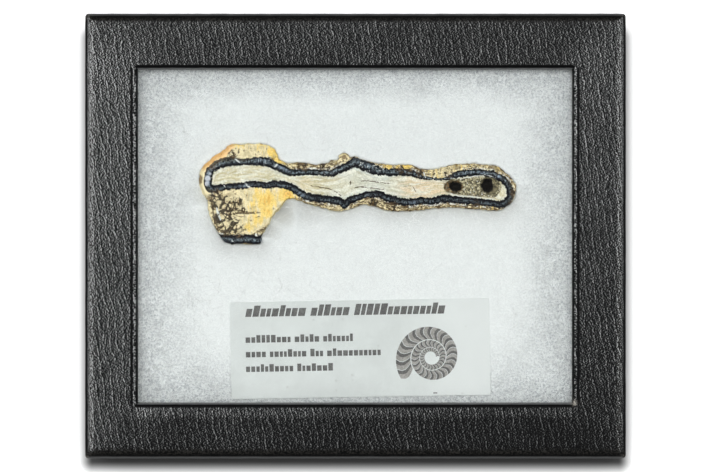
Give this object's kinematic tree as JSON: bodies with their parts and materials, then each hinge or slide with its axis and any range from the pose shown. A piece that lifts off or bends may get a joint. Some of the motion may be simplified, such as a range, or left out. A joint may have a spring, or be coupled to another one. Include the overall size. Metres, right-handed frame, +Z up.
{
  "type": "fossil mammoth tooth slice",
  "caption": "Polished slice of a fossil mammoth molar in white batting with a card below it, in a black cardboard specimen case with a glass window in its lid.",
  "frame": {"origin": "under the middle of the case, on the surface that it lies on", "axes": "+X along the case's long side, towards the tooth's narrow end; +Y across it, away from the card; +Z up out of the glass"},
  "size_m": [0.1334, 0.1098, 0.019],
  "materials": {
    "lid_paper": "black leather-grain paper, satin",
    "tray_paper": "black leather-grain paper, satin",
    "glass": "clear, polished",
    "batting": "soft white fibre, matte",
    "fossil": "polished face, rough sides",
    "card": "matte"
  },
  "bodies": {
    "root": {"case_lid": "lid_paper", "case_base": "tray_paper", "glass_pane": "glass", "batting": "batting", "tooth_slice": "fossil", "label_card": "card"}
  },
  "joints": []
}
